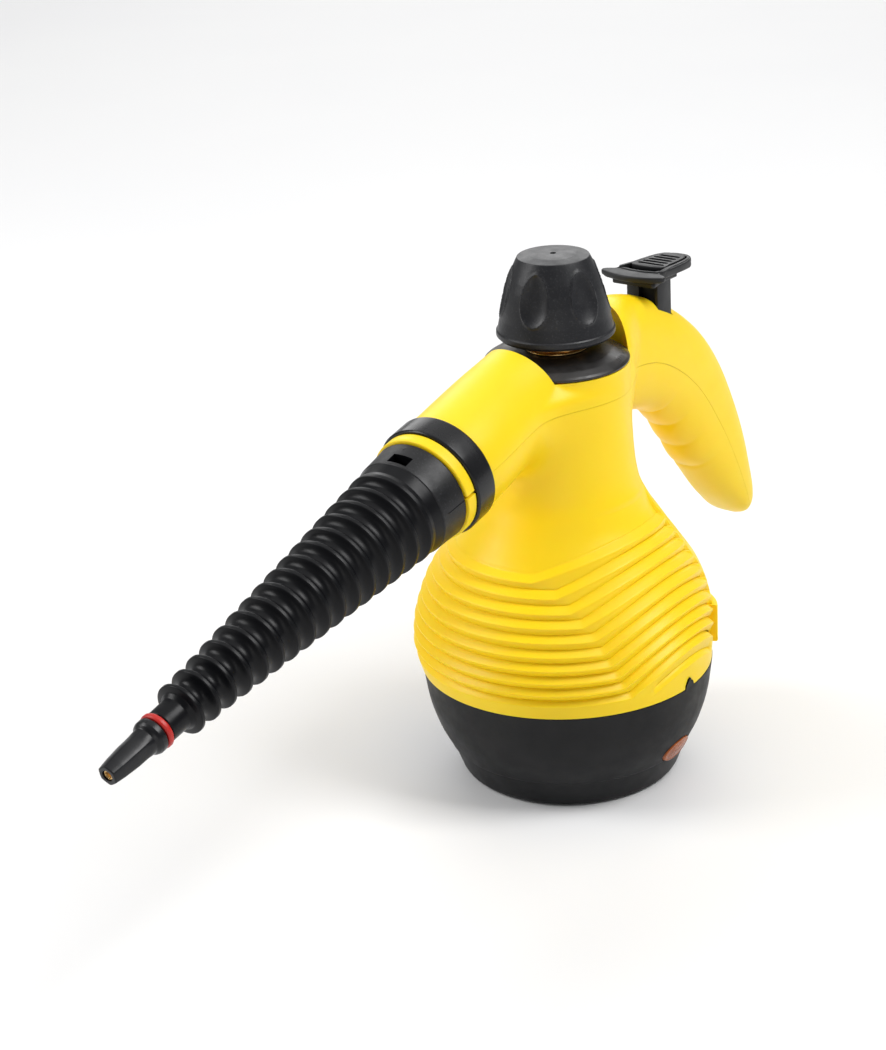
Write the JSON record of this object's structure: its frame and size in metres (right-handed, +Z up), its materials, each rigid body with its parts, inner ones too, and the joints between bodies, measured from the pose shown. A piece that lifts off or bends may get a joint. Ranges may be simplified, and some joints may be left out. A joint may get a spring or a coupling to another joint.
{
  "type": "wallpaper steamer",
  "caption": "Handheld pressurised steam generator for stripping wallpaper: bulbous ribbed body, arched handle with top trigger, safety filler cap and long ringed nozzle.",
  "frame": {"origin": "centre of the flat underside of the base, on the body's vertical axis", "axes": "+Z up along the body; the spout and nozzle point to -Y and slope down; the handle arches back over +Y; +X is the side with the indicator lens"},
  "size_m": [0.1238, 0.4072, 0.2182],
  "materials": {
    "base_cup": "fine-grained black moulding",
    "base_screw_1": "plain steel",
    "base_screw_2": "plain steel",
    "base_screw_3": "plain steel",
    "base_screw_4": "plain steel",
    "body_shell": "satin yellow moulding",
    "boiler_bolt_1": "plain steel",
    "boiler_bolt_2": "plain steel",
    "boiler_bolt_3": "plain steel",
    "boiler_bolt_4": "plain steel",
    "boiler_bottom": "die-cast aluminium",
    "boiler_gasket": "matt rubber",
    "boiler_top": "die-cast aluminium",
    "brass_jet": "turned brass",
    "cap_carrier": "fine-grained black moulding",
    "cap_gasket": "matt rubber",
    "cap_plug": "turned brass",
    "cap_shell": "fine-grained black moulding",
    "cap_spring": "plain steel",
    "cord_gland": "fine-grained black moulding",
    "element_lead_back": "matt rubber",
    "element_lead_front": "matt rubber",
    "filler_flange": "fine-grained black moulding",
    "filler_neck": "turned brass",
    "heating_element": "plain steel",
    "indicator_lamp": "off-white moulding",
    "indicator_lens": "clear amber-orange moulding",
    "jet_tip": "fine-grained black moulding",
    "lamp_holder": "off-white moulding",
    "lever_bracket": "fine-grained black moulding",
    "lever_pin": "plain steel",
    "neck_nut": "turned brass",
    "nozzle_cone": "fine-grained black moulding",
    "nozzle_gasket": "matt rubber",
    "outlet_seal": "matt rubber",
    "outlet_spigot": "fine-grained black moulding",
    "spout_collar": "fine-grained black moulding",
    "steam_pipe": "drawn copper tube",
    "terminal_block": "off-white moulding",
    "thermal_cutout": "plain steel",
    "thermostat": "plain steel",
    "thermostat_body": "off-white moulding",
    "tip_ring": "red seal ring",
    "top_cover": "satin yellow moulding",
    "trigger": "fine-grained black moulding",
    "trigger_lock": "fine-grained black moulding",
    "valve_body": "turned brass",
    "valve_lever": "fine-grained black moulding",
    "valve_pin": "plain steel",
    "valve_spring": "plain steel"
  },
  "bodies": {
    "casing": {"base_cup": "base_cup", "base_screw_1": "base_screw_1", "base_screw_2": "base_screw_2", "base_screw_3": "base_screw_3", "base_screw_4": "base_screw_4", "body_shell": "body_shell", "boiler_bolt_1": "boiler_bolt_1", "boiler_bolt_2": "boiler_bolt_2", "boiler_bolt_3": "boiler_bolt_3", "boiler_bolt_4": "boiler_bolt_4", "boiler_bottom": "boiler_bottom", "boiler_gasket": "boiler_gasket", "boiler_top": "boiler_top", "cord_gland": "cord_gland", "element_lead_back": "element_lead_back", "element_lead_front": "element_lead_front", "filler_flange": "filler_flange", "filler_neck": "filler_neck", "heating_element": "heating_element", "indicator_lamp": "indicator_lamp", "indicator_lens": "indicator_lens", "lamp_holder": "lamp_holder", "lever_bracket": "lever_bracket", "lever_pin": "lever_pin", "neck_nut": "neck_nut", "outlet_seal": "outlet_seal", "outlet_spigot": "outlet_spigot", "spout_collar": "spout_collar", "steam_pipe": "steam_pipe", "terminal_block": "terminal_block", "thermal_cutout": "thermal_cutout", "thermostat": "thermostat", "thermostat_body": "thermostat_body", "top_cover": "top_cover", "valve_body": "valve_body", "valve_spring": "valve_spring"},
    "trigger": {"trigger": "trigger"},
    "lock": {"trigger_lock": "trigger_lock"},
    "lever": {"valve_lever": "valve_lever"},
    "pin": {"valve_pin": "valve_pin"},
    "plug": {"cap_plug": "cap_plug", "cap_gasket": "cap_gasket", "cap_spring": "cap_spring"},
    "carrier": {"cap_carrier": "cap_carrier"},
    "cap": {"cap_shell": "cap_shell"},
    "nozzle_seat": {"nozzle_gasket": "nozzle_gasket"},
    "nozzle": {"nozzle_cone": "nozzle_cone"},
    "tip": {"jet_tip": "jet_tip", "brass_jet": "brass_jet", "tip_ring": "tip_ring"}
  },
  "joints": [
    {"name": "trigger_press", "type": "slide", "parent": "casing", "child": "trigger", "axis": [0, 0, -1], "range_m": [0, 0.0025], "stiffness_N_per_m": 1200, "springref_m": -0.003},
    {"name": "lock_slide", "type": "slide", "parent": "trigger", "child": "lock", "axis": [0, -1, 0], "range_m": [0, 0.005]},
    {"name": "lever_turn", "type": "hinge", "parent": "casing", "child": "lever", "pos_m": [0, 0.043, 0.154], "axis": [1, 0, 0], "range_deg": [-5.6, 0]},
    {"name": "pin_lift", "type": "slide", "parent": "casing", "child": "pin", "axis": [0, 0, 1], "range_m": [0, 0.0023], "deforming": ["valve_spring"]},
    {"name": "cap_lift", "type": "slide", "parent": "casing", "child": "plug", "axis": [0, 0, 1], "range_m": [0, 0.03]},
    {"name": "cap_press", "type": "slide", "parent": "plug", "child": "carrier", "axis": [0, 0, -1], "range_m": [0, 0.003], "stiffness_N_per_m": 1500, "springref_m": -0.002, "deforming": ["cap_spring"]},
    {"name": "cap_turn", "type": "hinge", "parent": "carrier", "child": "cap", "pos_m": [0, 0, 0.2], "axis": [0, 0, 1], "continuous": true},
    {"name": "nozzle_pull", "type": "slide", "parent": "casing", "child": "nozzle_seat", "axis": [0, -0.9771, -0.2129], "range_m": [0, 0.03]},
    {"name": "nozzle_turn", "type": "hinge", "parent": "nozzle_seat", "child": "nozzle", "pos_m": [0, -0.0916, 0.1515], "axis": [0, -0.9771, -0.2129], "range_deg": [-30, 0]},
    {"name": "tip_pull", "type": "slide", "parent": "nozzle", "child": "tip", "axis": [0, -0.9771, -0.2129], "range_m": [0, 0.012]}
  ],
  "couplings": [
    {"joint": "lever_turn", "follows": "trigger_press", "rad_per_m": -38.4},
    {"joint": "pin_lift", "follows": "trigger_press", "ratio": 0.9}
  ]
}
